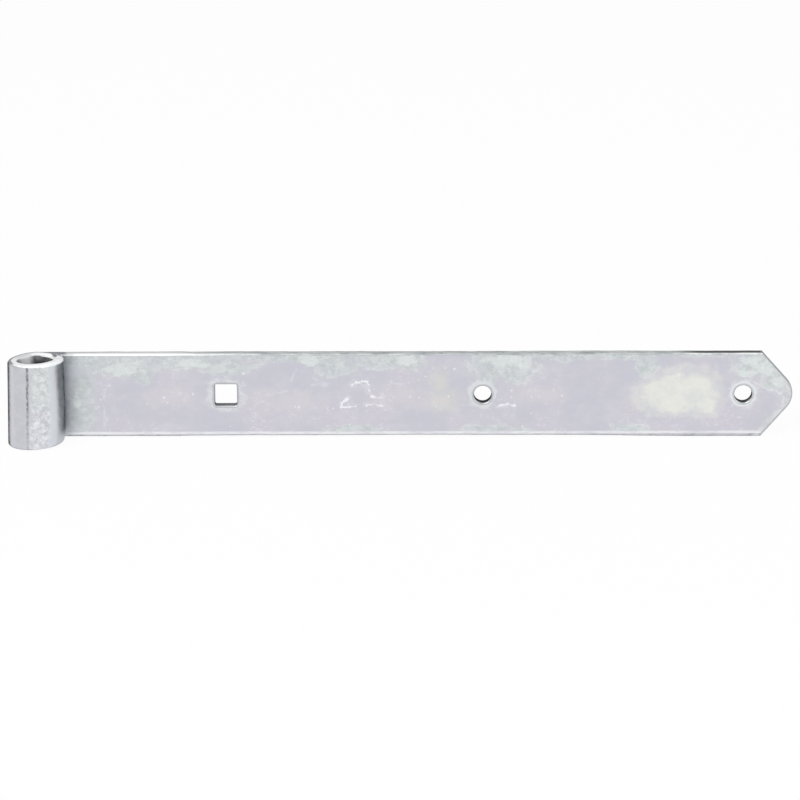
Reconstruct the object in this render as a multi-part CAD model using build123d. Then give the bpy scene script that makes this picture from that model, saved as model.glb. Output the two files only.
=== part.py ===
"""Shutter strap hinge: one flat steel bar, rolled into an eye at one end and pointed at the other.

The frame is in millimetres, with its origin on the eye's axis at half the bar's width.
+Z runs up along the eye, +X along the strap to its point, and +Y from the eye's front to the strap's back.
"""
import os
from math import asin, degrees, radians, sin, tan

from build123d import *

# Flat bar
bar_width = 35.0
bar_thickness = 4.0
bar_edge_radius = 1.0

# Strap, whose length runs from the eye's axis to the point
strap_length = 306.0
point_angle = 48.5
point_nose_radius = 8.5

# Eye, rolled round a pintle
pintle_diameter = 14.0
pintle_clearance = 0.15

# Seam, where the bar's scarfed end closes on the root of the strap
seam_start_angle = 8.0
seam_gap = 0.4

# Groove that the closing tool leaves down the front of the eye
roll_mark_angle = 258.0
roll_mark_radius = 0.6
roll_mark_depth = 0.25

# Square hole for the neck of a coach bolt
square_hole_x = 76.5
square_hole_side = 9.0
square_hole_corner_radius = 0.8

# Round holes for screws
screw_hole_diameter = 7.2
middle_hole_x = 180.5
end_hole_to_point = 20.0

# Punched holes: the front rim is rolled in by the punch, and the back rim has its burr broken
hole_rim_radius = 0.6
hole_back_break = 0.3

# Points nearer than this are the same point
same_place = 1e-4

# Worked out from the values above
eye_inner_radius = pintle_diameter / 2 + pintle_clearance
eye_outer_radius = eye_inner_radius + bar_thickness
closing_angle = degrees(asin(eye_inner_radius / eye_outer_radius))
end_hole_x = strap_length - end_hole_to_point


def seam_line():
    """The root's side of the seam in plan: its point nearest the axis, its outer corner and its normal."""
    start = Vector(eye_inner_radius, 0).rotate(Axis.Z, seam_start_angle)
    corner = Vector(eye_outer_radius, 0).rotate(Axis.Z, closing_angle)
    along = (corner - start).normalized()
    normal = along.cross(Vector(0, 0, 1))
    nearest = normal * start.dot(normal)
    return nearest, corner, normal


def make_strap():
    """The flat strap from the eye's axis to the point, with its edges rounded and its nose round in plan."""
    slope = radians(point_angle)
    apex_x = strap_length + point_nose_radius * (1 / sin(slope) - 1)
    shoulder_x = apex_x - bar_width / 2 / tan(slope)
    with BuildPart() as strap:
        with BuildSketch(Plane.XZ.offset(-eye_inner_radius)) as outline:
            with BuildLine():
                Polyline(
                    (0, -bar_width / 2),
                    (shoulder_x, -bar_width / 2),
                    (apex_x, 0),
                    (shoulder_x, bar_width / 2),
                    (0, bar_width / 2),
                    close=True,
                )
            make_face()
            apex = outline.vertices().sort_by(Axis.X)[-1]
            fillet(apex, point_nose_radius)
        extrude(amount=-bar_thickness)
        butt_face = strap.faces().sort_by(Axis.X)[0]
        flats = strap.faces().filter_by(Axis.Y)
        fillet(flats.edges() - butt_face.edges(), bar_edge_radius)
    return strap.part


def make_eye():
    """The bar's section rolled round the pintle, with its end cut back to the seam."""
    nearest, corner, normal = seam_line()
    reach = 2 * (corner - nearest) + nearest
    with BuildPart() as eye:
        with BuildSketch(Plane.YZ):
            with Locations((eye_inner_radius + bar_thickness / 2, 0)):
                RectangleRounded(bar_thickness, bar_width, bar_edge_radius)
        revolve(axis=Axis.Z, revolution_arc=270 + closing_angle)
        with BuildSketch(Plane.XY):
            clear = seam_gap * normal
            Polygon((0, 0), nearest + clear, reach + clear, (0, reach.Y), align=None)
        extrude(amount=bar_width, both=True, mode=Mode.SUBTRACT)
        mark_distance = eye_outer_radius + roll_mark_radius - roll_mark_depth
        with Locations(Vector(mark_distance, 0).rotate(Axis.Z, roll_mark_angle)):
            Cylinder(roll_mark_radius, 2 * bar_width, mode=Mode.SUBTRACT)
    return eye.part


def make_root():
    """The wedge at the root of the strap that closes the bore behind the seam."""
    nearest, corner = seam_line()[:2]
    with BuildPart() as root:
        with BuildSketch(Plane.XY):
            Polygon((0, 0), nearest, corner, (0, corner.Y), align=None)
            Circle(eye_inner_radius, mode=Mode.SUBTRACT)
        extrude(amount=bar_width / 2 - bar_edge_radius, both=True)
    return root.part


def rim_edges(hinge, rim):
    """The edges of the hinge that lie on the outline of a hole's rim."""
    outline = rim.outer_wire()
    return [edge for edge in hinge.edges() if outline.distance_to(edge.position_at(0.3)) < same_place]


def punch(hinge, hole):
    """Punch a hole sketch through the strap, roll in its front rim and break its back rim."""
    strap_front = Plane.XZ.offset(-eye_inner_radius)
    punched_out = extrude(strap_front * hole, amount=-bar_thickness)
    front_rim, back_rim = punched_out.faces().filter_by(Axis.Y).sort_by(Axis.Y)
    hinge = hinge - punched_out
    hinge = fillet(rim_edges(hinge, front_rim), hole_rim_radius)
    return chamfer(rim_edges(hinge, back_rim), hole_back_break)


hinge = make_strap() + make_eye() + make_root()
square_hole = RectangleRounded(square_hole_side, square_hole_side, square_hole_corner_radius)
hinge = punch(hinge, Pos(square_hole_x) * square_hole)
for hole_x in (middle_hole_x, end_hole_x):
    hinge = punch(hinge, Pos(hole_x) * Circle(screw_hole_diameter / 2))

os.makedirs("parts", exist_ok=True)
export_step(hinge, "parts/hinge_strap.step")
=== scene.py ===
from math import asin, atan2, cos, degrees, hypot, pi, radians, sin, sqrt, tan, tau

import bmesh
import bpy
from mathutils import Matrix, Vector, geometry, kdtree, noise


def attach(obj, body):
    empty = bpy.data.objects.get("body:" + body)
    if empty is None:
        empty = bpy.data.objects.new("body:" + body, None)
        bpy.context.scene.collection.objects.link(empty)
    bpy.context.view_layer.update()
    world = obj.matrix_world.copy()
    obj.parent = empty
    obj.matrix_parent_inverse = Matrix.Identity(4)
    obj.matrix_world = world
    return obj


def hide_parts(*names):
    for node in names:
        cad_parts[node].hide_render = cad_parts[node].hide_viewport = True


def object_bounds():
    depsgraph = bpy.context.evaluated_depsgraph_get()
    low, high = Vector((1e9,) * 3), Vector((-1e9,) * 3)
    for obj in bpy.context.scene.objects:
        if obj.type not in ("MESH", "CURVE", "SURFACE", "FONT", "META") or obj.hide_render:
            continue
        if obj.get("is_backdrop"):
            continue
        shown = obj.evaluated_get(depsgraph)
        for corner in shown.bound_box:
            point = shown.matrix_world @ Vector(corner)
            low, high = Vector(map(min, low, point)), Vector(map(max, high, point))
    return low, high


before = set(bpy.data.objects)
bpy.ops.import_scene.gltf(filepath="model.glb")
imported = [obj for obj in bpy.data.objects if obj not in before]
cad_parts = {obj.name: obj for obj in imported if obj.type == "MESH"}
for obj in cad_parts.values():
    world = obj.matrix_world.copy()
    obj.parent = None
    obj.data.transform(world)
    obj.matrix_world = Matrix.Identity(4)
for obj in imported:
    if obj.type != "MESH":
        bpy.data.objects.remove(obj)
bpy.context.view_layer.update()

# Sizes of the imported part, in millimetres
MM = 0.001
BAR_WIDTH = 35.0
BAR_THICKNESS = 4.0
EDGE_RADIUS = 1.0
EYE_INNER = 7.15
STRAP_LENGTH = 306.0
POINT_SLOPE = radians(48.5)
NOSE_RADIUS = 8.5
SQUARE_X, SQUARE_HALF, SQUARE_CORNER = 76.5, 4.5, 0.8
ROUND_HOLES_X, ROUND_HOLE_RADIUS = (180.5, 286.0), 3.6
FRONT_RIM, BACK_RIM = 0.6, 0.3
CREASE_ANGLE = 258.0
SEAM_START_ANGLE = 8.0
SEAM_GAP = 0.4

# Worked out from the values above
EYE_OUTER = EYE_INNER + BAR_THICKNESS
HALF_WIDTH = BAR_WIDTH / 2
FLAT_HALF = HALF_WIDTH - EDGE_RADIUS
SQUARE_CORE = SQUARE_HALF - SQUARE_CORNER

# Spacing of the mesh along the bar's outline: shares of a run, millimetres, and radians on the nose
ROLL_SHARE, STRAP_STEP, SLOPE_SHARE, NOSE_TURN = 0.012, 1.2, 0.07, 0.09

# Mesh round the edges and the holes: parts of a quarter turn, sides of a hole, and rows down its wall
EDGE_PARTS, RIM_PARTS, CORNER_PARTS = 6, 4, 5
ROUND_HOLE_SIDES, SQUARE_SIDE_SHARE = 44, 0.14
WALL_ROWS = (1.6, 2.7)

# Steps of the mesh across the roll's end and in a band to each side of the crease, in millimetres
END_STEP = 0.8
CREASE_BAND, CREASE_STEP = 1.2, 0.3

# The roll's own step is kept up to this distance along the strap
ROLL_END = 2

# Rows of even triangles, in shares of the step: their height, their start and their distance from the rims
ROW_HEIGHT, ROW_START, RIM_CLEAR = 0.866, 0.4, 0.6

# How the flats are filled: only inside their rims, with points nearer than this taken as one
INSIDE_RIMS, SAME_PLACE = 1, 1e-5

# Faces that meet at more than this angle have a sharp edge
SHARP_ANGLE = radians(42)

# Waves of the surface: each is noise with a height and a feature size in millimetres, and a seed
ROLLING_WAVES = ((0.09, 38, 1), (0.02, 9, 2))
RIM_WAVES = ((0.06, 7, 3), (0.04, 2.6, 4))
ZINC_LUMPS = ((0.09, 2.6, 5), (0.06, 1.3, 6))
CREASE_WANDER = ((0.12, 2.5, 7),)
CREASE_BEADS = ((0.5, 1.9, 8),)

# How far in from the bar's long edges the waves of its rims reach
RIM_REACH = 1.5

# Pairs below are where an effect is still nil and where it is full.
# The strap's lower edge bows up along its middle and down towards the point.
BOW_UP, BOW_UP_START, BOW_UP_END = 0.22, (45, 90), (222, 195)
BOW_DOWN, BOW_DOWN_START = 0.5, (222, 268)

# The eye leans and is tilted a little: millimetres sideways for each of height, and upwards for each of width
EYE_LEAN, EYE_TILT = 0.02, 0.052
LEAN_START, ROOT_LEAN_START = (0, -8), (1, 7)

# The roll has sprung open a little, more below its middle than at its ends
SPRUNG_ENDS, SPRUNG_MORE = 0.25, 0.65
SPRUNG_DOWN, SPRUNG_FOOT, SPRUNG_SIDE = (HALF_WIDTH, -6), (-19, -12), (0, 9)

# The eye's top is higher at the front
FRONT_RISE, FRONT_RISE_START = 0.45, (4, -EYE_OUTER)

# Lumps and the crease are on the eye's outer skin.
# The lumps go by the angle round the eye's axis, and the crease by the distance from its middle.
SKIN_DEPTH = 0.6
LUMPS_START, LUMPS_END = (CREASE_ANGLE - 2, CREASE_ANGLE + 10), (335, 310)
CREASE_SIDE = (0.6, 0.1)
CREASE_DEPTH, BEAD_DEPTH = 0.1, 0.16
BEAD_MEAN, BEAD_GROWTH, BEAD_GROWTH_START = 0.5, 0.35, (-14, 16)


def polar(radius, angle):
    """A plan point at this radius from the eye's axis; the angle is in degrees from +X."""
    return Vector((radius * cos(radians(angle)), radius * sin(radians(angle))))


SEAM_INNER = polar(EYE_INNER, SEAM_START_ANGLE)
SEAM_OUTER = polar(EYE_OUTER, degrees(asin(EYE_INNER / EYE_OUTER)))
SEAM_ALONG = (SEAM_OUTER - SEAM_INNER).normalized()
SEAM_OUT = Vector((SEAM_ALONG.y, -SEAM_ALONG.x))


def smoothstep(low, high, value):
    """0 at low, 1 at high, and a smooth change between them; low may be the larger."""
    t = min(max((value - low) / (high - low), 0.0), 1.0)
    return t * t * (3 - 2 * t)


def spread(start, end, step):
    """Even values from start up to end, without end, about step apart."""
    count = max(round(abs(end - start) / step), 1)
    return [start + (end - start) * i / count for i in range(count)]


def quarter_turn(parts):
    """The angles from 0 to a quarter turn, both included, in this many parts."""
    return [i * pi / 2 / parts for i in range(parts + 1)]


# The plated bar is made flat, as stock is, then rolled at one end.
# s runs along it and is negative on the roll, n is the distance from the eye's axis, and w runs across it.

def scarf(n):
    """The s at which the roll's end meets the seam."""
    start = SEAM_INNER + SEAM_GAP * SEAM_OUT
    b = start.dot(SEAM_ALONG)
    end = start + SEAM_ALONG * (-b + sqrt(b * b - start.dot(start) + n * n))
    return -EYE_OUTER * (radians(270) + atan2(end.y, end.x))


def bend(s, n, w):
    """Where a point of the flat bar comes to lie in the frame."""
    if s >= 0:
        return Vector((s, n, w))
    return Vector((n * sin(s / EYE_OUTER), n * cos(s / EYE_OUTER), w))


def outline():
    """Stations round the flat bar from the roll's top corner, by way of the point, to its bottom corner.

    A station is its share of the roll, its place on the outline and its outward direction."""
    tilt = pi / 2 - POINT_SLOPE
    up = Vector((0, 1))
    normal = Vector((cos(tilt), sin(tilt)))
    apex_s = STRAP_LENGTH + NOSE_RADIUS * (1 / sin(POINT_SLOPE) - 1)
    shoulder = Vector((apex_s - HALF_WIDTH / tan(POINT_SLOPE), HALF_WIDTH))
    nose = Vector((STRAP_LENGTH - NOSE_RADIUS, 0))
    slope_end = nose + normal * NOSE_RADIUS
    upper = [(roll, Vector((0, HALF_WIDTH)), up) for roll in spread(1, 0, ROLL_SHARE)]
    upper += [(0, Vector((s, HALF_WIDTH)), up) for s in spread(0, shoulder.x, STRAP_STEP)]
    upper.append((0, shoulder, (up + normal) / (1 + up.dot(normal))))
    upper += [(0, shoulder.lerp(slope_end, t), normal) for t in spread(0, 1, SLOPE_SHARE)[1:]]
    for angle in spread(tilt, 0, NOSE_TURN):
        out = Vector((cos(angle), sin(angle)))
        upper.append((0, nose + out * NOSE_RADIUS, out))
    flip = Vector((1, -1))
    lower = [(roll, place * flip, out * flip) for roll, place, out in reversed(upper)]
    return upper + [(0, Vector((STRAP_LENGTH, 0)), Vector((1, 0)))] + lower


def rounding(radius, parts):
    """Rows from the front flat round an edge: how far from the edge's wall, and n."""
    return [(radius * (1 - sin(a)), EYE_INNER + radius * (1 - cos(a))) for a in quarter_turn(parts)]


def edge_profile():
    """Rows from the bar's front flat to its back flat round its edge: how far in from the outline, and n."""
    front = rounding(EDGE_RADIUS, EDGE_PARTS)
    back = [(inset, EYE_INNER + EYE_OUTER - n) for inset, n in reversed(front)]
    return front + [(0, (EYE_INNER + EYE_OUTER) / 2)] + back


def hole_profile():
    """Rows down a punched hole: how far out from its wall, and n."""
    straight = [(0, EYE_INNER + depth) for depth in WALL_ROWS] + [(0, EYE_OUTER - BACK_RIM)]
    return rounding(FRONT_RIM, RIM_PARTS) + straight + [(BACK_RIM, EYE_OUTER)]


def hole_outlines():
    """For each hole, the points of its wall and the directions out from them."""
    turn = [i * tau / ROUND_HOLE_SIDES for i in range(ROUND_HOLE_SIDES)]
    for hole_x in ROUND_HOLES_X:
        outs = [Vector((cos(a), sin(a))) for a in turn]
        yield [Vector((hole_x, 0)) + out * ROUND_HOLE_RADIUS for out in outs], outs
    centre = Vector((SQUARE_X, 0))
    places, outs = [], []
    for quarter in range(4):
        corner = Matrix.Rotation(quarter * pi / 2, 2)
        for a in quarter_turn(CORNER_PARTS):
            out = corner @ Vector((cos(a), sin(a)))
            places.append(centre + corner @ Vector((SQUARE_CORE, SQUARE_CORE)) + out * SQUARE_CORNER)
            outs.append(out)
        for t in spread(0, 1, SQUARE_SIDE_SHARE)[1:]:
            side = corner @ Vector((SQUARE_CORE - 2 * SQUARE_CORE * t, SQUARE_HALF))
            places.append(centre + side)
            outs.append(corner @ Vector((0, 1)))
    yield places, outs


def hole_distance(s, w):
    """How far a point of the flat bar is from the nearest hole's wall; negative inside the hole."""
    beyond_s, beyond_w = abs(s - SQUARE_X) - SQUARE_CORE, abs(w) - SQUARE_CORE
    square = hypot(max(beyond_s, 0), max(beyond_w, 0)) - SQUARE_CORNER
    return min(square, *(hypot(s - hole_x, w) - ROUND_HOLE_RADIUS for hole_x in ROUND_HOLES_X))


class FlatBar:
    """The mesh of the bar while it is made: each vertex keeps its place on the flat bar."""

    def __init__(self):
        self.bm = bmesh.new()
        self.flat = {}

    def vertex(self, s, n, w):
        made = self.bm.verts.new(bend(s, n, w))
        self.flat[made] = (s, w)
        return made

    def wall(self, columns, closed):
        """Quads between columns of vertices."""
        pairs = list(zip(columns, columns[1:]))
        if closed:
            pairs.append((columns[-1], columns[0]))
        for left, right in pairs:
            for k in range(len(left) - 1):
                self.bm.faces.new((left[k], left[k + 1], right[k + 1], right[k]))

    def sheet(self, n, rims, roll_step, strap_step, hole_rim):
        """Fill one flat of the bar, inside its rims, with even triangles."""
        known = [v for rim in rims for v in rim]
        number = {v: i for i, v in enumerate(known)}
        points = [Vector(self.flat[v]) for v in known]
        edges = [(number[a], number[b]) for rim in rims for a, b in zip(rim, rim[1:] + rim[:1])]
        nearest = kdtree.KDTree(len(points))
        for i, point in enumerate(points):
            nearest.insert((*point, 0), i)
        nearest.balance()
        crease_s = -EYE_OUTER * radians(CREASE_ANGLE - 90)
        before, after = crease_s - CREASE_BAND, crease_s + CREASE_BAND
        blocks = [(roll_step, scarf(n), before), (CREASE_STEP, before, after),
                  (roll_step, after, ROLL_END), (strap_step, ROLL_END, STRAP_LENGTH)]
        for step, low, high in blocks:
            for row in range(int(BAR_WIDTH / (step * ROW_HEIGHT)) + 1):
                w = row * step * ROW_HEIGHT - FLAT_HALF
                for column in range(int((high - low) / step) + 1):
                    s = low + (column + ROW_START + 0.5 * (row % 2)) * step
                    inside = s < high and abs(w) < FLAT_HALF and hole_distance(s, w) > hole_rim
                    if inside and nearest.find((s, w, 0))[2] > RIM_CLEAR * step:
                        points.append(Vector((s, w)))
        filled = geometry.delaunay_2d_cdt(points, edges, [], INSIDE_RIMS, SAME_PLACE)
        flat, _, triangles, sources, _, _ = filled
        for triangle in triangles:
            centre = sum((flat[i] for i in triangle), Vector((0, 0))) / 3
            if hole_distance(*centre) < hole_rim:
                continue
            corners = []
            for i in triangle:
                source = sources[i][0]
                if source >= len(known) and source not in number:
                    number[source] = self.vertex(points[source].x, n, points[source].y)
                corners.append(known[source] if source < len(known) else number[source])
            self.bm.faces.new(corners)

    def build(self):
        """The edges, the roll's end, the holes' walls and the two flats."""
        columns = []
        for roll, place, out in outline():
            columns.append([self.vertex(scarf(n) * roll + place.x - out.x * inset, n, place.y - out.y * inset)
                            for inset, n in edge_profile()])
        self.wall(columns, closed=False)
        across = spread(-FLAT_HALF, FLAT_HALF, END_STEP)[1:]
        ends = [[self.vertex(scarf(n), n, w) for w in across] for n in (EYE_INNER, EYE_OUTER)]
        self.bm.faces.new(columns[0] + ends[1][::-1] + columns[-1][::-1] + ends[0])
        front = [[column[0] for column in columns] + ends[0]]
        back = [[column[-1] for column in columns] + ends[1]]
        for places, outs in hole_outlines():
            hole = []
            for place, out in zip(places, outs):
                hole.append([self.vertex(place.x + out.x * wider, n, place.y + out.y * wider)
                             for wider, n in hole_profile()])
            self.wall(hole, closed=True)
            front.append([column[0] for column in hole])
            back.append([column[-1] for column in hole])
        self.sheet(EYE_INNER, front, roll_step=0.9, strap_step=1.3, hole_rim=FRONT_RIM)
        self.sheet(EYE_OUTER, back, roll_step=0.6, strap_step=1.3, hole_rim=BACK_RIM)


def build_root():
    """The wedge on the strap's root that closes the bore behind the seam, let into the strap by a little."""
    bm = bmesh.new()
    let_in = 0.6
    bore_turn, seam_share, level_step = 4, 0.15, 1.2
    bore = [polar(EYE_INNER, a) for a in spread(90, SEAM_START_ANGLE, bore_turn)]
    seam = [SEAM_INNER.lerp(SEAM_OUTER, t) for t in spread(0, 1, seam_share)] + [SEAM_OUTER]
    plan = bore + seam + [Vector((SEAM_OUTER.x, EYE_INNER + let_in)), Vector((0, EYE_INNER + let_in))]
    levels = spread(-FLAT_HALF, FLAT_HALF, level_step) + [FLAT_HALF]
    rings = [[bm.verts.new((*point, z)) for point in plan] for z in levels]
    for low, high in zip(rings, rings[1:]):
        for i in range(len(plan)):
            j = (i + 1) % len(plan)
            bm.faces.new((low[i], low[j], high[j], high[i]))
    for ring in (rings[0], rings[-1]):
        bm.faces.new(ring)
    return bm


def grain(p, size, seed):
    """Soft noise from about -1 to 1 with features about size millimetres across."""
    place = (p.x / size + 17.3 * seed, p.y / size - 9.1 * seed, p.z / size + 4.7 * seed)
    return noise.noise(Vector(place))


def waves(p, kinds):
    """Noise of several kinds added up, each given as its height, feature size and seed."""
    return sum(height * grain(p, size, seed) for height, size, seed in kinds)


def unevenness(p, normal, s):
    """How far a point of the clean form moves.

    The plate has rolling marks, zinc lumps and wavy edges, and the eye is out of square."""
    move = normal * waves(p, ROLLING_WAVES)
    rim = smoothstep(HALF_WIDTH - RIM_REACH, HALF_WIDTH, abs(p.z))
    move += normal * rim * waves(p, RIM_WAVES)
    if s >= 0:
        bow = BOW_UP * smoothstep(*BOW_UP_START, s) * smoothstep(*BOW_UP_END, s)
        bow -= BOW_DOWN * smoothstep(*BOW_DOWN_START, s)
        move.z += bow * smoothstep(0, -HALF_WIDTH, p.z)
        return move
    move.z += EYE_TILT * p.x
    move.x += EYE_LEAN * p.z * smoothstep(*LEAN_START, s)
    sprung = SPRUNG_ENDS + SPRUNG_MORE * smoothstep(*SPRUNG_DOWN, p.z) * smoothstep(*SPRUNG_FOOT, p.z)
    move.x += sprung * smoothstep(*SPRUNG_SIDE, p.x)
    move.z += FRONT_RISE * smoothstep(*FRONT_RISE_START, p.y) * smoothstep(0, HALF_WIDTH, p.z)
    if hypot(p.x, p.y) > EYE_OUTER - SKIN_DEPTH:
        angle = degrees(atan2(p.y, p.x)) % 360
        lumpy = smoothstep(*LUMPS_START, angle) * smoothstep(*LUMPS_END, angle)
        move += normal * lumpy * (1 - rim) * waves(p, ZINC_LUMPS)
        off_crease = radians(angle - CREASE_ANGLE) * EYE_OUTER + waves(p, CREASE_WANDER)
        crease = smoothstep(*CREASE_SIDE, abs(off_crease))
        bead = BEAD_MEAN + waves(Vector((0, 0, p.z)), CREASE_BEADS)
        bead += BEAD_GROWTH * smoothstep(*BEAD_GROWTH_START, p.z)
        move -= normal * crease * (CREASE_DEPTH + BEAD_DEPTH * bead)
    return move


def uneven_mesh(name, bm, place_on_bar):
    """Turn clean geometry into an uneven mesh in metres.

    The root's wedge, which has no place on the bar, leans too."""
    bmesh.ops.recalc_face_normals(bm, faces=bm.faces)
    bm.normal_update()
    moves = [unevenness(v.co, v.normal, place_on_bar[v][0] if place_on_bar else 0) for v in bm.verts]
    for v, move in zip(bm.verts, moves):
        if not place_on_bar:
            move.x += EYE_LEAN * v.co.z * smoothstep(*ROOT_LEAN_START, v.co.x)
        v.co += move
    bmesh.ops.triangulate(bm, faces=[f for f in bm.faces if len(f.verts) > 4])
    bmesh.ops.scale(bm, vec=(MM,) * 3, verts=bm.verts)
    mesh = bpy.data.meshes.new(name)
    bm.to_mesh(mesh)
    bm.free()
    return mesh


def make_bar():
    """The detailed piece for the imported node: the rolled bar joined with the wedge at its root."""
    flat_bar = FlatBar()
    flat_bar.build()
    bar = bpy.data.objects.new("plated_bar", uneven_mesh("plated_bar", flat_bar.bm, flat_bar.flat))
    root = bpy.data.objects.new("root_wedge", uneven_mesh("root_wedge", build_root(), {}))
    bpy.context.scene.collection.objects.link(bar)
    bpy.context.scene.collection.objects.link(root)
    union = bar.modifiers.new("root_wedge", "BOOLEAN")
    union.operation, union.solver, union.object = "UNION", "EXACT", root
    joined = bpy.data.meshes.new_from_object(bar.evaluated_get(bpy.context.evaluated_depsgraph_get()))
    bar.modifiers.clear()
    bar.data = joined
    bpy.data.objects.remove(root)
    joined.shade_smooth()
    joined.set_sharp_from_angle(angle=SHARP_ANGLE)
    return bar


class Graph:
    """A material's shader nodes, added by short calls that return the new node's output."""

    def __init__(self, name):
        self.material = bpy.data.materials.new(name)
        self.material.use_nodes = True
        self.tree = self.material.node_tree
        self.tree.nodes.clear()

    def put(self, socket, value):
        if isinstance(value, bpy.types.NodeSocket):
            self.tree.links.new(value, socket)
        else:
            socket.default_value = value

    def node(self, kind, inputs, **settings):
        made = self.tree.nodes.new("ShaderNode" + kind)
        for key, value in settings.items():
            setattr(made, key, value)
        for key, value in inputs.items():
            self.put(made.inputs[key], value)
        return made

    def math(self, operation, *values):
        return self.node("Math", dict(enumerate(values)), operation=operation).outputs[0]

    def vector(self, operation, *values):
        made = self.node("VectorMath", dict(enumerate(values)), operation=operation)
        plain = operation in ("LENGTH", "DISTANCE", "DOT_PRODUCT")
        return made.outputs["Value" if plain else "Vector"]

    def rise(self, value, low, high):
        """0 at low, 1 at high, smooth between; low may be the larger."""
        inputs = {"Value": value, "From Min": low, "From Max": high}
        return self.node("MapRange", inputs, interpolation_type="SMOOTHSTEP").outputs[0]

    def scaled(self, value, factor, more):
        """The value times a factor, plus more."""
        return self.math("MULTIPLY_ADD", value, factor, more)

    def apart(self, value, other):
        """How far apart two values are."""
        return self.math("ABSOLUTE", self.math("SUBTRACT", value, other))

    def fold(self, operation, values, *more):
        """Values joined by a math operation, from the first one on."""
        total = values[0]
        for value in values[1:]:
            total = self.math(operation, total, value, *more)
        return total

    def times(self, *values):
        return self.fold("MULTIPLY", values)

    def most(self, *values):
        return self.fold("MAXIMUM", values)

    def mix(self, amount, below, above):
        return self.node("Mix", {0: amount, 6: below, 7: above}, data_type="RGBA").outputs[2]

    def noise(self, where, size, detail=3.0, roughness=0.55, stretch=(1, 1, 1), outlet="Fac"):
        """Noise with features about size millimetres across, longer along an axis with a larger stretch."""
        where = self.vector("MULTIPLY", where, tuple(1 / (size * k) for k in stretch))
        inputs = {"Vector": where, "Scale": 1.0, "Detail": detail, "Roughness": roughness}
        return self.node("TexNoise", inputs).outputs[outlet]

    def warped(self, where, size, reach, detail=2.0):
        """The place moved about by noise, so that what is drawn from it has an uneven outline."""
        swing = self.vector("SUBTRACT", self.noise(where, size, detail, outlet="Color"), (0.5, 0.5, 0.5))
        return self.vector("MULTIPLY_ADD", swing, (2 * reach,) * 3, where)

    # What follows is drawn on the strap's face by x and z, and y is ignored

    def reach(self, where, x, z, half_x=1, half_z=1):
        """The distance from a point, as a share of a half length and a half height."""
        scale, offset = (1 / half_x, 0, 1 / half_z), (-x / half_x, 0, -z / half_z)
        return self.vector("LENGTH", self.vector("MULTIPLY_ADD", where, scale, offset))

    def patches(self, where, items, blend=0.25):
        """A field that is 1 in the middle of the patches, 0 at their edges and negative beyond."""
        nearest = self.fold("SMOOTH_MIN", [self.reach(where, *item) for item in items], blend)
        return self.math("SUBTRACT", 1.0, nearest)

    def strokes(self, where, lines):
        """The distance to the nearest of some polylines."""
        reaches = []
        for line in lines:
            for (x0, z0), (x1, z1) in zip(line, line[1:]):
                run = Vector((x1 - x0, 0, z1 - z0))
                start = self.vector("MULTIPLY_ADD", where, (1, 0, 1), (-x0, 0, -z0))
                part = self.vector("DOT_PRODUCT", start, tuple(run / run.length_squared))
                part = self.node("Clamp", {0: part, 1: 0.0, 2: 1.0}).outputs[0]
                foot = self.node("VectorMath", {0: tuple(run), "Scale": part}, operation="SCALE").outputs[0]
                reaches.append(self.vector("DISTANCE", start, foot))
        return self.fold("MINIMUM", reaches)

    def specks(self, where, places):
        """The distance to the nearest of some specks, as a share of its size."""
        return self.fold("MINIMUM", [self.reach(where, x, z, size, size) for x, z, size in places])

    def hole_reach(self, where):
        """The distance out from the nearest hole's wall."""
        offset = self.vector("ABSOLUTE", self.vector("MULTIPLY_ADD", where, (1, 0, 1), (-SQUARE_X, 0, 0)))
        past_core = self.vector("SUBTRACT", offset, (SQUARE_CORE, 0, SQUARE_CORE))
        square = self.vector("LENGTH", self.vector("MAXIMUM", past_core, (0, 0, 0)))
        reaches = [self.math("SUBTRACT", square, SQUARE_CORNER)]
        for hole_x in ROUND_HOLES_X:
            reaches.append(self.math("SUBTRACT", self.reach(where, hole_x, 0), ROUND_HOLE_RADIUS))
        return self.fold("MINIMUM", reaches)


def srgb(*levels):
    """A colour written in screen levels of 0 to 255, as the shader wants it."""
    parts = [v / 255 for v in levels]
    return tuple(p / 12.92 if p <= 0.04045 else ((p + 0.055) / 1.055) ** 2.4 for p in parts) + (1.0,)


# Stains on the strap's face: centre x, centre z, half length and half height, in millimetres
GREEN_STAINS = [
    (19, 15, 9, 4.2), (37, 12.5, 12, 5.5), (42, 8.3, 5.3, 3.4), (60, 14.6, 16, 3.8), (77.5, 12.4, 9.7, 4.2),
    (107, 16.2, 28, 2.5), (121, 12.3, 9, 3.8), (141, 14.8, 12, 3.8), (151, 13.5, 6.5, 3.4),
    (189.5, 13, 13, 6.4), (182.6, 7.1, 4.5, 3.8), (194.7, 8.8, 6.5, 3.8), (212, 16.8, 24, 2.1),
    (238, 16.7, 12, 2.1), (247, 12.9, 4.1, 5.1), (264, 17.5, 20, 1.7), (292.5, 13.6, 10.5, 5.1),
    (300.7, 6.9, 6.5, 5.9), (183.5, -14.1, 10, 1.7), (197.7, -15, 4.1, 1.3), (17, -15, 6.1, 1.7),
    (18.5, 4, 6, 8), (18, -8, 6, 6), (240, -14.2, 7.3, 1.7), (127, -14.4, 12, 1.7),
]
PALE_STAINS = [
    (16.0, -2.9, 2.2, 4.3), (35.5, 11.3, 7.3, 3.4), (63.5, 13.0, 6.3, 2.2), (109.9, 14.9, 4.5, 2.6),
    (149.1, 14.4, 4.9, 2.6), (189.4, 14.3, 7.3, 3.0), (197.5, 13.4, 5.7, 2.6), (289.2, 14.1, 4.9, 2.1),
    (294.2, 10.7, 4.1, 3.4), (287.7, 8.6, 3.7, 1.7), (299.9, 6.0, 3.3, 3.0),
]
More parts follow.
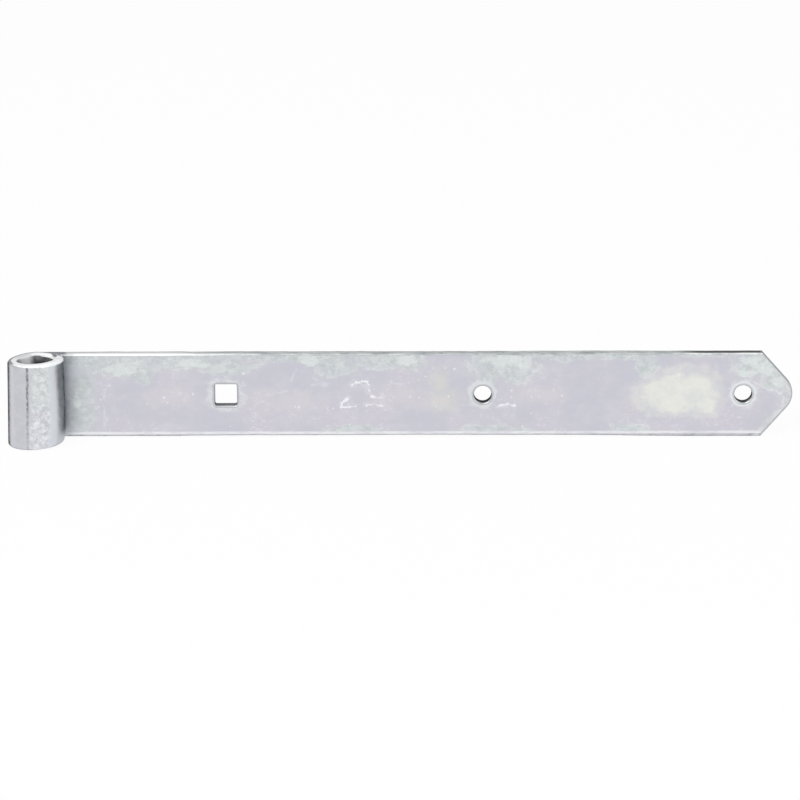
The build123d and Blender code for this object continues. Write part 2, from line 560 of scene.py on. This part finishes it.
CREAM_STAINS = [
    (253, 0.2, 9.5, 7.4), (264.4, 2.7, 11.3, 7.6), (271, -2.4, 6.1, 6.2), (259, -4.5, 10, 4.6),
    (257, 4.2, 9, 4.5),
]
YELLOW_STAINS = [(164.4, -2.4, 6.0, 5.0), (163.0, 4.4, 4.6, 5.2)]
PINK_STAINS = [
    (151, -1.3, 12, 5.1), (54, 0.2, 14, 4.2), (102, -2.9, 16, 4.2), (204, -0.1, 12, 3.4),
    (270, 11, 2.6, 5.0), (275, 9, 1.6, 4.0), (242.5, -1.6, 6.5, 5.5),
]

# Scratches on the strap's face: lines through points given by x and z
WHITE_STROKES = [
    [(127.6, 4.3), (129.1, 5.2), (131.7, 5.5), (134, 5.5),
     (134.4, 2.2), (135, -0.3), (137.2, -1.5), (140.1, -0.9)],
    [(133.7, -4.5), (136.6, -4.2), (139.5, -4.8)],
    [(125.9, -1.5), (123.5, -3.3), (123.2, -5.4), (125.5, -5.1), (129.3, -4.8)],
    [(186.5, -5.2), (189.5, -4.0), (193.5, -4.6)],
]
FAINT_STROKES = [
    [(92.3, -0.2), (96.7, 0.7), (101.3, 1.9)],
    [(27.2, 2.4), (27, -15.4)],
    [(111.8, 7.2), (114.6, 5.2), (118.0, 4.6)],
    [(111.4, 4.2), (114.0, 4.6), (117.0, 3.8)],
    [(105.2, 11.0), (104.2, 8.9), (102.8, 6.0)],
    [(130.8, 9.1), (132, 10.6), (137.2, 11.5)],
    [(112.5, 9.0), (115.5, 8.2)],
    [(143, 4.6), (148.2, 4.5)],
]
TIP_STROKE = [(289.4, 6.1), (294.4, 2.7), (298.8, 1.4), (302.1, -0.7), (302.6, -4.6), (297.2, -12.6)]

# Specks on the strap's face: x, z and size
WHITE_SPECKS = [
    (24.8, -4.9, 0.4), (25.7, -1.8, 0.5), (29.4, 4.2, 0.55), (29.6, 0.6, 0.3), (51.5, -1.0, 0.6),
    (52.8, -3.1, 0.5), (44.5, -3.7, 0.35), (63.1, 0.5, 0.6), (27.2, -12.2, 0.35), (36.8, -11.3, 0.3),
    (83.8, 9.2, 0.75), (104.4, -5.0, 0.4), (106.0, -5.2, 0.65), (112.5, -5.5, 0.4), (119.8, -5.7, 0.45),
    (78.0, -13.2, 0.4), (63.2, 4.7, 0.3), (151.1, -1.0, 0.55), (154.8, -1.2, 0.5), (157.4, 7.7, 0.5),
    (160.3, 11.2, 0.4), (165.2, 11.2, 0.45), (169.0, 10.7, 0.6), (166.7, -0.8, 0.6), (161.5, -5.0, 0.4),
    (192.1, 1.7, 0.55), (192.1, -1.0, 0.5), (200.2, -1.0, 0.45), (203.4, -0.9, 0.35), (212.7, -0.4, 0.55),
    (187.6, -12.5, 0.3), (196.6, -13.4, 0.45), (200.0, -8.0, 0.35), (227.3, 6.5, 0.3), (247.6, -13.2, 0.35),
    (256.5, -8.4, 0.3),
]

# Where the holes begin along the strap, and the stretch in which the right end of its top edge begins
HOLES_START = (60, 62)
RIGHT_END = (258, 268)


class Plate(Graph):
    """The zinc plate while it is painted: the fields that its layers share, and the colour so far.

    Places are in millimetres. A field such as on_face is 1 where its name says and 0 elsewhere."""

    def __init__(self):
        super().__init__("zinc_plate")
        self.p = self.vector("MULTIPLY", self.node("TexCoord", {}).outputs["Object"], (1 / MM,) * 3)
        self.x, self.y, self.z = self.node("SeparateXYZ", {0: self.p}).outputs
        self.height = self.math("ABSOLUTE", self.z)
        self.add_noises()
        self.add_regions()
        self.colour = None

    def add_noises(self):
        p = self.p
        self.lobed = self.warped(p, 8.0, 2.6)
        self.fuzzy = self.warped(p, 1.2, 0.3)
        self.cloud = self.noise(p, 17.0)
        self.marble = self.noise(self.warped(p, 6.0, 3.0), 5.0, 6.0, 0.68, stretch=(1.7, 1, 1))
        self.mottle = self.noise(self.lobed, 2.2, 5.0, 0.65, stretch=(1.5, 1, 1))
        self.fine = self.noise(p, 1.1, 4.0, 0.65)
        self.ragged = self.scaled(self.mottle, 0.9, self.scaled(self.marble, 1.5, -1.2))
        self.wrinkle = self.noise(self.warped(p, 3.0, 1.0), 2.2, 6.0, 0.7)
        self.bead = self.scaled(self.rise(self.noise(p, 1.3, 3.0, 0.6), 0.36, 0.64), 0.7, 0.3)

    def add_regions(self):
        """The eye, with its lean and its sprung side taken off, and the strap's face."""
        x, y, z = self.x, self.y, self.z
        sprung = self.times(self.rise(z, *SPRUNG_DOWN), self.rise(z, *SPRUNG_FOOT))
        sprung = self.scaled(sprung, SPRUNG_MORE, SPRUNG_ENDS)
        sprung = self.times(sprung, self.rise(x, *SPRUNG_SIDE), self.rise(y, 7.3, 6.9))
        self.eye_x = self.math("SUBTRACT", self.scaled(z, -EYE_LEAN, x), sprung)
        self.in_plan = self.node("CombineXYZ", {0: self.eye_x, 1: y}).outputs[0]
        self.plan_radius = self.vector("LENGTH", self.in_plan)
        self.on_eye = self.times(self.rise(self.plan_radius, 11.8, 11.6), self.rise(y, 6.9, 6.5))
        self.on_face = self.times(self.rise(y, 8.2, 7.4), self.rise(x, 10.6, 11.2))

    def paint(self, tone, *amounts):
        """Lay a tone over the colour so far, as strongly as the product of the amounts."""
        self.colour = self.mix(self.times(*amounts), self.colour, tone)

    def stained(self, where, stains):
        """How deep a place lies in ragged stains; negative outside them."""
        return self.math("ADD", self.patches(where, stains), self.ragged)


def paint_film(g):
    """The lilac film, clouded with pink and blue."""
    g.colour = g.mix(g.rise(g.cloud, 0.36, 0.64), srgb(203, 204, 214), srgb(209, 206, 215))
    g.paint(srgb(216, 214, 220), g.rise(g.marble, 0.42, 0.7), 0.5)
    pink = g.rise(g.stained(g.lobed, PINK_STAINS), -0.5, 0.9)
    g.paint(srgb(219, 214, 219), g.on_face, pink, 0.6)


def paint_green(g):
    """Green-grey stains, placed one by one on the face and scattered elsewhere, with pale stains over them.
    """
    field = g.stained(g.lobed, GREEN_STAINS)
    scattered = g.times(g.rise(g.noise(g.p, 24.0, 5.0, 0.65), 0.47, 0.62), g.rise(g.y, 8.2, 9.5))
    g.green = g.most(g.times(g.on_face, g.rise(field, -0.5, 0.5)), scattered)
    tone = g.mix(g.rise(g.mottle, 0.32, 0.68), srgb(199, 206, 207), srgb(220, 225, 225))
    g.paint(tone, g.green, 0.85)
    border = g.rise(g.math("ABSOLUTE", field), 0.16, 0.0)
    g.paint(srgb(230, 233, 234), g.on_face, border, g.rise(g.marble, 0.42, 0.58), 0.45)
    bruise = g.rise(g.apart(field, 0.3), 0.14, 0.0)
    g.paint(srgb(184, 190, 191), g.on_face, bruise, g.rise(g.marble, 0.54, 0.42), 0.35)
    pale = g.rise(g.stained(g.warped(g.p, 5.0, 2.2), PALE_STAINS), -0.15, 0.35)
    g.paint(srgb(228, 234, 232), g.on_face, pale, 0.6)


def paint_back(g):
    """The back: rubbed streaks and dull smudges."""
    on_back = g.rise(g.y, 10.4, 10.9)
    rubbed = g.noise(g.warped(g.p, 9.0, 2.5), 1.0, 4.0, 0.6, stretch=(14, 1, 1))
    g.paint(srgb(236, 238, 241), on_back, g.rise(rubbed, 0.56, 0.7), g.rise(g.cloud, 0.4, 0.6), 0.6)
    smudge = g.rise(g.noise(g.lobed, 12.0, 5.0, 0.65), 0.55, 0.75)
    g.paint(srgb(176, 181, 184), on_back, smudge, 0.5)


def paint_cream(g):
    """A cream stain that dried in two tides, and yellow ones."""
    field = g.scaled(g.ragged, 0.6, g.patches(g.warped(g.p, 4.0, 1.8, 5.0), CREAM_STAINS))
    outer_tide = g.times(g.rise(field, -0.5, -0.15), 0.45)
    inner_tide = g.times(g.rise(field, 0.0, 0.4), 0.55)
    g.cream = g.times(g.on_face, g.math("ADD", outer_tide, inner_tide))
    tone = g.mix(g.rise(g.marble, 0.36, 0.66), srgb(219, 221, 218), srgb(230, 230, 223))
    g.paint(tone, g.cream, 0.9)
    yellow = g.rise(g.stained(g.lobed, YELLOW_STAINS), -0.7, 0.9)
    g.paint(srgb(224, 223, 214), g.on_face, yellow, 0.55)


def paint_holes(g):
    """Pale halos round the holes, and painted shade on their rims and in their walls."""
    x, y = g.x, g.y
    to_hole = g.hole_reach(g.fuzzy)
    wide_reach = g.scaled(g.ragged, -5.0, g.hole_reach(g.warped(g.p, 4.0, 1.8)))
    near_reach = g.scaled(g.ragged, -2.4, g.hole_reach(g.warped(g.p, 4.5, 2.4)))
    near_reach = g.scaled(g.rise(x, 220, 240), 0.9, near_reach)
    wide_halo = g.times(g.rise(wide_reach, 4.0, 0.8), g.rise(g.mottle, 0.36, 0.56))
    round_halo = g.times(g.rise(near_reach, 2.9, 1.7), g.rise(x, 150, 160))
    g.paint(srgb(227, 230, 232), g.on_face, g.most(round_halo, wide_halo), 0.7)
    end_ring = g.times(g.rise(to_hole, 2.0, 1.5), g.rise(x, 230, 240))
    g.paint(srgb(232, 235, 237), g.on_face, end_ring, 0.8)
    past_start = g.rise(x, *HOLES_START)
    # painted shade: a grey band on the holes' front rims, in place of the highlight their rounding catches
    g.paint(srgb(160, 165, 167), g.rise(y, 8.2, 7.6), past_start, g.rise(to_hole, 1.05, 0.75), 0.45)
    # painted shade: dark walls inside the round holes, grey inside the square one
    round_wall_shade = g.mix(g.rise(g.noise(g.p, 1.8, 3.0), 0.5, 0.6), srgb(76, 78, 79), srgb(146, 149, 150))
    wall_shade_tone = g.mix(g.rise(x, 90, 100), srgb(168, 171, 172), round_wall_shade)
    g.paint(wall_shade_tone, g.rise(to_hole, 0.32, 0.1), g.rise(y, 7.5, 8.0), past_start, 0.95)


def paint_marks(g):
    """White scratches, specks and flecks, and light and dark grains in the green near the top edge."""
    broken = g.rise(g.noise(g.p, 1.6, 3.0), 0.38, 0.6)
    drawn = g.strokes(g.warped(g.fuzzy, 3.0, 0.6), WHITE_STROKES)
    scratch = g.times(g.on_face, g.rise(g.scaled(broken, -0.6, drawn), 0.35, -0.3))
    dots = g.rise(g.specks(g.warped(g.fuzzy, 1.0, 0.35), WHITE_SPECKS), 1.2, 0.2)
    dots = g.times(g.on_face, dots, 0.8)
    smear = g.rise(g.strokes(g.lobed, WHITE_STROKES), 2.2, 0.2)
    smear = g.times(g.on_face, smear, g.rise(g.mottle, 0.4, 0.62), 0.4)
    faint = g.rise(g.strokes(g.fuzzy, FAINT_STROKES), 0.9, 0.1)
    faint = g.times(g.on_face, faint, g.rise(g.mottle, 0.36, 0.6), 0.35)
    flecks = g.times(g.rise(g.fine, 0.64, 0.74), g.rise(g.cloud, 0.44, 0.62))
    wisps = g.noise(g.warped(g.p, 5.0, 1.5), 3.2, 3.0, 0.6, stretch=(2.2, 1, 1))
    wisps = g.times(g.rise(g.apart(wisps, 0.5), 0.03, 0.0), g.rise(g.cloud, 0.46, 0.62), broken, 0.45)
    tip_line = g.rise(g.strokes(g.warped(g.fuzzy, 4.0, 1.0), [TIP_STROKE]), 0.9, 0.0)
    tip_line = g.times(g.on_face, tip_line, broken, 0.5)
    g.marks = g.most(scratch, dots, smear, faint, wisps, tip_line, g.times(flecks, 0.7))
    g.paint(srgb(243, 243, 247), g.marks, 0.8)
    near_top = g.times(g.on_face, g.green, g.rise(g.z, 6.0, 14.0))
    g.paint(srgb(236, 240, 239), near_top, g.rise(g.fine, 0.56, 0.7), 0.5)
    g.paint(srgb(172, 178, 179), near_top, g.rise(g.fine, 0.44, 0.32), 0.4)


def paint_point(g):
    """The point: a pale band inside its nose and its lower slope."""
    from_nose = g.vector("MULTIPLY_ADD", g.fuzzy, (1, 0, 1), (NOSE_RADIUS - STRAP_LENGTH, 0, 0))
    nose_x, _, nose_z = g.node("SeparateXYZ", {0: from_nose}).outputs
    off_middle = g.math("ABSOLUTE", nose_z)
    slope_reach = g.scaled(off_middle, cos(POINT_SLOPE), g.times(nose_x, sin(POINT_SLOPE)))
    in_nose = g.scaled(off_middle, -sin(POINT_SLOPE), g.times(nose_x, cos(POINT_SLOPE)))
    nose_reach = g.vector("LENGTH", from_nose)
    g.tip_reach = g.node("Mix", {0: g.rise(in_nose, -0.5, 0.5), 2: slope_reach, 3: nose_reach}).outputs[0]
    band = g.rise(g.tip_reach, NOSE_RADIUS - 3.2, NOSE_RADIUS - 2.0)
    tone = g.mix(g.rise(g.mottle, 0.38, 0.62), srgb(206, 210, 211), srgb(228, 231, 232))
    g.paint(tone, g.on_face, band, g.rise(g.z, 9, 4), g.rise(g.x, 285, 292), 0.6)


def paint_edges(g):
    """The edges: a painted highlight and painted shade on their rounding, burnished in places, and dark at
    the right end of the top.
    """
    x, y, z = g.x, g.y, g.z
    on_strap = g.rise(x, 11, 13)
    streaky = g.noise(g.p, 1.6, 4.0, 0.65, stretch=(6, 1, 1))
    patchy = g.scaled(g.rise(streaky, 0.36, 0.58), 0.6, 0.35)
    dashes = g.rise(g.noise(g.p, 1.0, 4.0, 0.7, stretch=(4, 1, 1)), 0.5, 0.64)

    # painted highlight: a white line along the bottom edge, where its rounding turns towards the floor
    low_edge_highlight = g.times(g.on_face, g.rise(z, -15.2, -15.8), g.rise(z, -16.9, -16.4), patchy, 0.8)
    g.paint(srgb(244, 246, 247), on_strap, low_edge_highlight)
    # painted shade: grey dashes on the bottom edge's rounding
    g.paint(srgb(132, 135, 137), on_strap, g.rise(z, -16.5, -16.9), g.scaled(dashes, 0.5, 0.2))
    # painted shade: the point's rounded edge is greyed, damping its highlight; it is also less metallic
    g.tip_round = g.times(g.rise(g.tip_reach, NOSE_RADIUS - 0.9, NOSE_RADIUS - 0.5), g.rise(x, 291, 292.5))
    g.paint(srgb(172, 176, 178), g.tip_round, 0.7)

    top_face = g.times(on_strap, g.rise(z, 16.5, 16.9))
    right_end = g.rise(x, *RIGHT_END)
    before_end = g.rise(x, *reversed(RIGHT_END))
    near_eye = g.rise(x, 85, 50)
    top_tone = g.mix(g.rise(streaky, 0.36, 0.6), srgb(178, 183, 184), srgb(222, 225, 226))
    g.paint(g.mix(right_end, top_tone, srgb(142, 145, 148)), top_face)
    # painted shade on the front rounding of the top edge, damping its highlight
    g.paint(srgb(166, 171, 172), top_face, g.rise(y, 8.5, 7.9), g.rise(x, 60, 95), before_end, 0.5)
    g.paint(srgb(120, 124, 125), top_face, dashes, 0.45)
    # burnished zinc with a painted highlight: a white line along the top's front edge, near the eye and at
    # the right end
    burnish_and_highlight = g.most(near_eye, g.times(right_end, g.rise(y, 7.75, 7.45)), 0.08)
    g.paint(srgb(246, 248, 248), top_face, g.rise(y, 9.9, 9.2), burnish_and_highlight, g.most(patchy, near_eye))
    # painted shade: a dark line along the top's back edge
    back_edge_shade = g.times(top_face, g.rise(y, 9.2, 9.9), g.rise(streaky, 0.3, 0.5), g.rise(x, 110, 70))
    g.paint(srgb(108, 111, 113), back_edge_shade, 0.8)
    g.dull_top = g.times(top_face, before_end)


def paint_eye_front(g):
    """The eye's front: smooth left of the crease, mottled and wrinkled right of it, with painted light on its
    left flank and a painted highlight band on its right.
    """
    front = g.times(g.on_eye, g.rise(g.y, 3.0, -2.0))
    left_tone_and_light = g.mix(g.rise(g.marble, 0.36, 0.64), srgb(199, 201, 206), srgb(211, 211, 217))
    # painted light: the eye's far left is painted lighter
    left_tone_and_light = g.mix(g.rise(g.eye_x, -7.0, -9.5), left_tone_and_light, srgb(228, 229, 232))
    g.paint(left_tone_and_light, front, 0.85)
    ragged_x = g.scaled(g.ragged, 3.0, g.eye_x)
    right_side = g.times(front, g.rise(ragged_x, -2.4, 0.6), g.rise(g.eye_x, 8.0, 5.4))
    upper_tone = g.mix(g.rise(g.wrinkle, 0.32, 0.68), srgb(194, 200, 201), srgb(232, 236, 236))
    lower_tone = g.mix(g.rise(g.wrinkle, 0.36, 0.66), srgb(198, 200, 206), srgb(242, 241, 246))
    g.paint(g.mix(g.rise(g.z, 4, -5), upper_tone, lower_tone), right_side, 0.85)
    # painted highlight: a pale bluish band down the eye's right front
    highlight_band = g.times(front, g.rise(g.eye_x, 5.0, 6.6), g.rise(g.eye_x, 8.8, 7.6))
    g.paint(srgb(214, 219, 225), highlight_band, 0.75)


def paint_crevices(g):
    """Painted shade: along the crease, in a mottled band on the eye's left flank, and where the eye meets the
    strap.
    """
    crease_x = EYE_OUTER * cos(radians(CREASE_ANGLE))
    fuzzy_x = g.scaled(g.z, -EYE_LEAN, g.node("SeparateXYZ", {0: g.fuzzy}).outputs[0])
    # painted shade along the crease
    crease = g.rise(g.apart(fuzzy_x, crease_x), 0.8, 0.1)
    g.paint(srgb(98, 103, 104), crease, g.rise(g.y, -9, -10.4), g.bead, g.rise(g.z, -34, 6), 0.85)

    # painted shade: a dark mottled band on the eye's left flank, standing in for its dark grazing reflection
    blotchy = g.rise(g.noise(g.p, 5.0, 5.0, 0.65), 0.28, 0.6)
    blotchy = g.times(g.scaled(blotchy, 0.5, 0.5), g.scaled(g.bead, 0.3, 0.7))
    ragged_y = g.scaled(g.ragged, 2.4, g.y)
    left_flank_shade = g.times(g.on_eye, g.rise(g.x, -8.0, -9.4), g.rise(ragged_y, -6.0, -3.4))
    g.paint(srgb(112, 116, 118), left_flank_shade, g.rise(ragged_y, 3.0, -1.8), blotchy)

    # painted shade where the eye meets the strap: on the eye's right side and on the strap beside it
    corner_eye_shade = g.times(g.on_eye, g.rise(g.eye_x, 8.2, 9.8), g.rise(g.z, -15.2, -10.5), 0.62)
    patchy_x = g.scaled(g.ragged, -6.0, g.x)
    corner_strap_shade = g.times(g.rise(g.y, 9, 7.6), g.rise(g.plan_radius, 11.2, 11.5))
    corner_strap_shade = g.times(corner_strap_shade, g.rise(patchy_x, 19, 11), 0.45)
    corner_shade_tone = g.mix(g.rise(g.mottle, 0.4, 0.6), srgb(98, 107, 108), srgb(142, 152, 152))
    g.paint(corner_shade_tone, g.most(corner_eye_shade, corner_strap_shade))


def paint_eye_top(g):
    """The top of the eye: bright bare zinc, with painted shade on its outer edge at the back and the left."""
    x, y = g.x, g.y
    end_reach = g.scaled(g.rise(y, 0, 4), 0.7, g.plan_radius)
    end_level = g.scaled(g.rise(y, -2.0, 5.0), 0.8, g.z)
    end_face = g.times(g.rise(end_reach, 11.8, 11.5), g.rise(end_level, 16.8, 17.2))
    g.end_face = g.times(end_face, g.most(g.rise(x, 9.6, 9.2), g.rise(y, 7.0, 6.4)))
    tone = g.mix(g.rise(g.wrinkle, 0.58, 0.34), srgb(252, 253, 253), srgb(226, 229, 230))
    tone = g.mix(g.times(g.rise(y, 1.0, 5.0), g.rise(x, 0, -4)), tone, srgb(210, 213, 215))
    g.paint(tone, g.end_face, 0.95)
    # painted shade: a dark line on the outer edge of the eye's top, at the back and the left
    shaded_edge_side = g.most(g.rise(y, 1.0, 4.5), g.rise(x, -7.0, -9.0))
    g.paint(srgb(116, 119, 121), g.end_face, g.rise(g.plan_radius, 9.3, 10.0), shaded_edge_side, 0.9)


def paint_seam(g):
    """The seam: dark, and broken by zinc at its ends."""
    x, y = g.x, g.y
    seam_side = g.vector("DOT_PRODUCT", g.in_plan, (SEAM_OUT.x, SEAM_OUT.y, 0))
    off_seam = g.apart(seam_side, SEAM_INNER.dot(SEAM_OUT) + SEAM_GAP / 2)
    seam = g.times(g.rise(off_seam, 0.75, 0.45), g.rise(x, 6.6, 7.0), g.rise(x, 9.6, 9.2))
    seam = g.times(seam, g.rise(y, 0.2, 0.8), g.rise(y, 7.6, 7.2))
    g.paint(srgb(62, 64, 65), seam, g.most(g.bead, g.rise(g.height, 17.2, 15.8)))


def paint_bore(g):
    """The bore: painted shade, mottled at its ends and darker deep inside, and pale on part of its left wall.
    """
    g.bore = g.times(g.rise(g.plan_radius, 7.5, 7.3), g.rise(g.height, 17.1, 16.6))
    # painted shade: the bore's wall is dark grey, near black deep inside
    tone = g.mix(g.rise(g.wrinkle, 0.36, 0.62), srgb(84, 87, 88), srgb(150, 153, 154))
    tone = g.mix(g.rise(g.height, 16.2, 13.2), tone, srgb(48, 50, 51))
    pale_x = g.scaled(g.ragged, 1.6, g.x)
    pale_wall = g.times(g.rise(pale_x, 0.2, -3.4), g.rise(pale_x, -7.4, -5.2))
    tone = g.mix(g.times(pale_wall, g.rise(g.height, 10.5, 12.5)), tone, srgb(248, 250, 251))
    g.paint(tone, g.bore)


def finish_plate(g):
    """The plate's gloss and relief: stained, bare and marked places are rougher or less metallic."""
    low_right = g.times(g.on_eye, g.rise(g.eye_x, 7.5, 10.0), g.rise(g.z, -10.5, -15.0))
    bare = g.most(g.times(g.end_face, 2.2), g.times(g.dull_top, 1.4), g.times(g.bore, 2.0),
                  g.times(low_right, 1.6), g.tip_round)
    rougher = g.most(g.times(g.green, 0.6), g.cream, g.times(g.end_face, 0.8), g.times(g.marks, 0.5))
    relief = g.scaled(g.marks, 0.5, g.scaled(g.fine, 0.35, g.mottle))
    inputs = {
        "Base Color": g.colour,
        "Metallic": g.scaled(g.most(g.cream, bare, g.marks), -0.4, 0.92),
        "Roughness": g.scaled(rougher, 0.14, g.scaled(g.mottle, 0.16, 0.28)),
        "Normal": g.node("Bump", {"Strength": 0.35, "Distance": 0.00012, "Height": relief}).outputs[0],
        "Specular Tint": (0.04, 0.04, 0.045, 1),
    }
    shader = g.node("BsdfPrincipled", inputs)
    g.node("OutputMaterial", {"Surface": shader.outputs[0]})


def make_zinc():
    """Zinc plate on rolled steel, painted layer by layer from its film up."""
    g = Plate()
    layers = (paint_film, paint_green, paint_back, paint_cream, paint_holes, paint_marks, paint_point,
              paint_edges, paint_eye_front, paint_crevices, paint_eye_top, paint_seam, paint_bore)
    for paint_layer in layers:
        paint_layer(g)
    finish_plate(g)
    return g.material


# The stage, in metres
FLOOR_HALF = 6.0
FLOOR_COLOUR, FLOOR_WHITE = (0.93, 0.93, 0.93, 1), 0.94
WORLD_STRENGTH = 0.6
SENSOR_WIDTH, CLIP_END = 36.0, 50.0


def make_floor(height):
    """A floor that is nearly white to the camera and in reflections, and shows the shadow faintly."""
    mesh = bpy.data.meshes.new("floor")
    corners = [(x * FLOOR_HALF, y * FLOOR_HALF, 0) for x, y in ((-1, -1), (1, -1), (1, 1), (-1, 1))]
    mesh.from_pydata(corners, [], [(0, 1, 2, 3)])
    floor = bpy.data.objects.new("floor", mesh)
    bpy.context.scene.collection.objects.link(floor)
    floor.location.z = height
    g = Graph("white_floor")
    lit = g.node("BsdfDiffuse", {"Color": FLOOR_COLOUR}).outputs[0]
    white = g.node("Emission", {"Color": (1, 1, 1, 1), "Strength": 1.0}).outputs[0]
    rays = g.node("LightPath", {}).outputs
    reflected = g.math("MAXIMUM", rays["Is Glossy Ray"], rays["Is Transmission Ray"])
    seen = g.math("MAXIMUM", rays["Is Camera Ray"], reflected)
    surface = g.node("MixShader", {0: g.times(seen, FLOOR_WHITE), 1: lit, 2: white}).outputs[0]
    g.node("OutputMaterial", {"Surface": surface})
    mesh.materials.append(g.material)
    floor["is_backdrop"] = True


def make_light(name, place, target, size, power):
    """A soft rectangular lamp that faces its target."""
    lamp = bpy.data.lights.new(name, "AREA")
    lamp.shape = "RECTANGLE"
    lamp.size, lamp.size_y = size
    lamp.energy = power
    light = bpy.data.objects.new(name, lamp)
    bpy.context.scene.collection.objects.link(light)
    light.location = place
    light.rotation_euler = (Vector(target) - Vector(place)).to_track_quat("-Z", "Y").to_euler()


def make_world():
    """Even white light from all round."""
    world = bpy.data.worlds.new("studio")
    world.use_nodes = True
    background = world.node_tree.nodes["Background"].inputs
    background["Color"].default_value = (1, 1, 1, 1)
    background["Strength"].default_value = WORLD_STRENGTH
    bpy.context.scene.world = world


def make_camera(target, elevation, distance, lens, roll):
    """A camera in front of the strap, at an elevation and with a roll in degrees."""
    e = radians(elevation)
    back = Vector((0, -cos(e), sin(e)))
    camera = bpy.data.objects.new("camera", bpy.data.cameras.new("camera"))
    bpy.context.scene.collection.objects.link(camera)
    camera.data.lens = lens
    camera.data.sensor_width = SENSOR_WIDTH
    camera.data.clip_end = CLIP_END
    turn = (-back).to_track_quat("-Z", "Y").to_matrix() @ Matrix.Rotation(radians(roll), 3, "Z")
    camera.matrix_world = Matrix.Translation(Vector(target) + back * distance) @ turn.to_4x4()
    bpy.context.scene.camera = camera


bar = make_bar()
bar.data.materials.append(make_zinc())
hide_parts("hinge_strap")
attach(bar, "root")

make_floor(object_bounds()[0].z)
make_light("key", place=(-0.7, -1.2, 1.3), target=(0.13, 0, 0), size=(1.4, 1.0), power=18)
make_light("fill", place=(1.3, -1.0, 0.7), target=(0.15, 0, 0), size=(1.0, 1.0), power=6)
make_world()
bpy.context.scene.view_settings.view_transform = "Standard"
make_camera(target=(0.1470, 0.00715, -0.00222), elevation=17.16, distance=1.6, lens=177.7, roll=-0.12)
